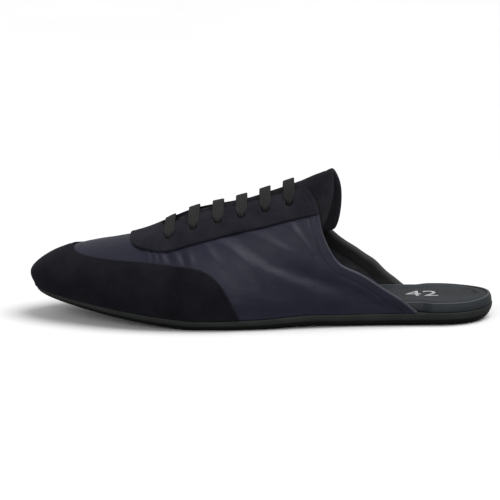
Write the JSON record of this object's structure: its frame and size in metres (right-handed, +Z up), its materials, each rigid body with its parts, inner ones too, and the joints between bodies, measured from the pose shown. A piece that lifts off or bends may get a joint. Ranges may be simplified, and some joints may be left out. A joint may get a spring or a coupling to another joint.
{
  "type": "laced mule slipper",
  "caption": "Dark backless slipper for the left foot, with a fabric upper, suede toe guard, laced eyestay, standing tongue and a thin rounded rubber sole.",
  "frame": {"origin": "on the floor plane, under the middle of the slipper's length and width", "axes": "+X from the heel to the toe, +Y to the outer side of the left foot, +Z up"},
  "size_m": [0.288, 0.1006, 0.0937],
  "materials": {
    "sole_rubber": "matt",
    "footbed_leather": "satin",
    "upper_fabric": "satin",
    "overlay_suede": "napped",
    "lace_webbing": "matt"
  },
  "bodies": {
    "root": {"outsole": "sole_rubber", "footbed": "footbed_leather", "upper": "upper_fabric", "toe_overlay": "overlay_suede", "eyestay": "overlay_suede", "tongue": "overlay_suede", "lace": "lace_webbing"}
  },
  "joints": []
}
